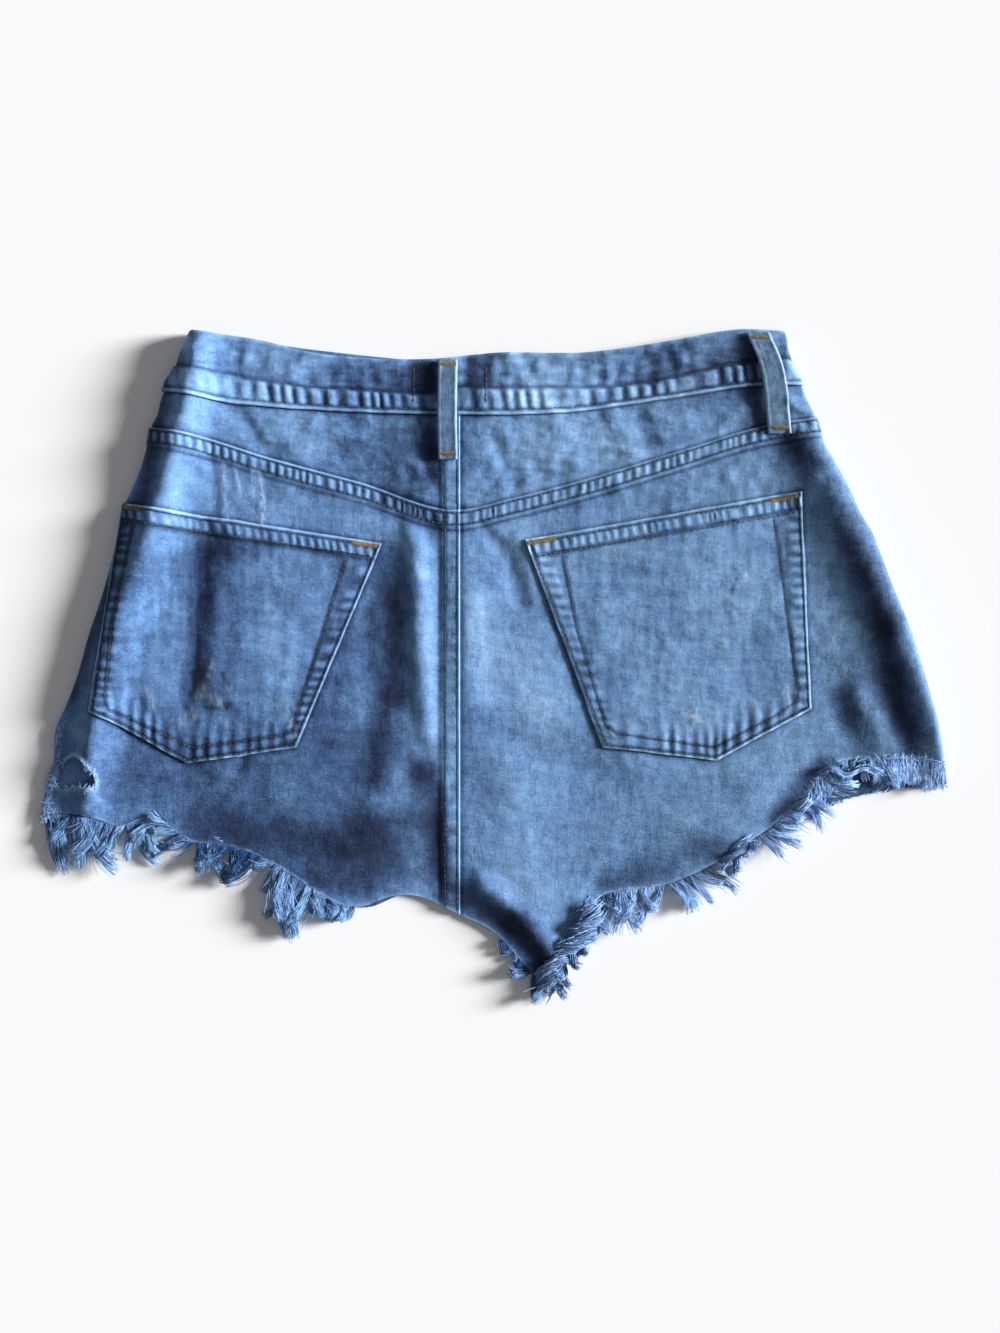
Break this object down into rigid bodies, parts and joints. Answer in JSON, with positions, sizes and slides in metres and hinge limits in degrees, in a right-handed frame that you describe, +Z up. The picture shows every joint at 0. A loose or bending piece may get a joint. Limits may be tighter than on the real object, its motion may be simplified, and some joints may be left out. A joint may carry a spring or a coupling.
{
  "type": "denim shorts",
  "caption": "Denim cut-off shorts lying flat, back uppermost, with waistband, yoke, patch pockets, belt loops and frayed leg edges.",
  "frame": {"origin": "middle of the footprint, on the surface the shorts lie on", "axes": "+X across the garment to the wearer's right, the longest extent; +Y from the legs to the waist; +Z up out of the back, the shortest extent"},
  "size_m": [0.567, 0.4152, 0.0107],
  "materials": {
    "band_denim": "washed blue twill, two layers, puckered along its seams",
    "panel_denim": "mid-blue washed cotton twill with faded ridges",
    "pocket_denim": "mid-blue washed twill with worn, roped edges",
    "loop_denim": "folded washed twill strip with light worn edges",
    "frayed_thread": "loose white and pale blue cotton threads",
    "button_metal": "plain worn metal tack button"
  },
  "bodies": {
    "root": {"waistband": "band_denim", "yoke_left": "panel_denim", "yoke_right": "panel_denim", "back_panel_left": "panel_denim", "back_panel_right": "panel_denim", "front_panel_left": "panel_denim", "front_panel_right": "panel_denim", "fly_shield": "panel_denim", "pocket_left": "pocket_denim", "pocket_right": "pocket_denim", "belt_loop_centre_back": "loop_denim", "belt_loop_side_right": "loop_denim", "belt_loop_side_left": "loop_denim", "belt_loop_front_left": "loop_denim", "belt_loop_front_right": "loop_denim", "fringe_back_left": "frayed_thread", "fringe_back_right": "frayed_thread", "fringe_front_left": "frayed_thread", "fringe_front_right": "frayed_thread", "button": "button_metal"}
  },
  "joints": []
}
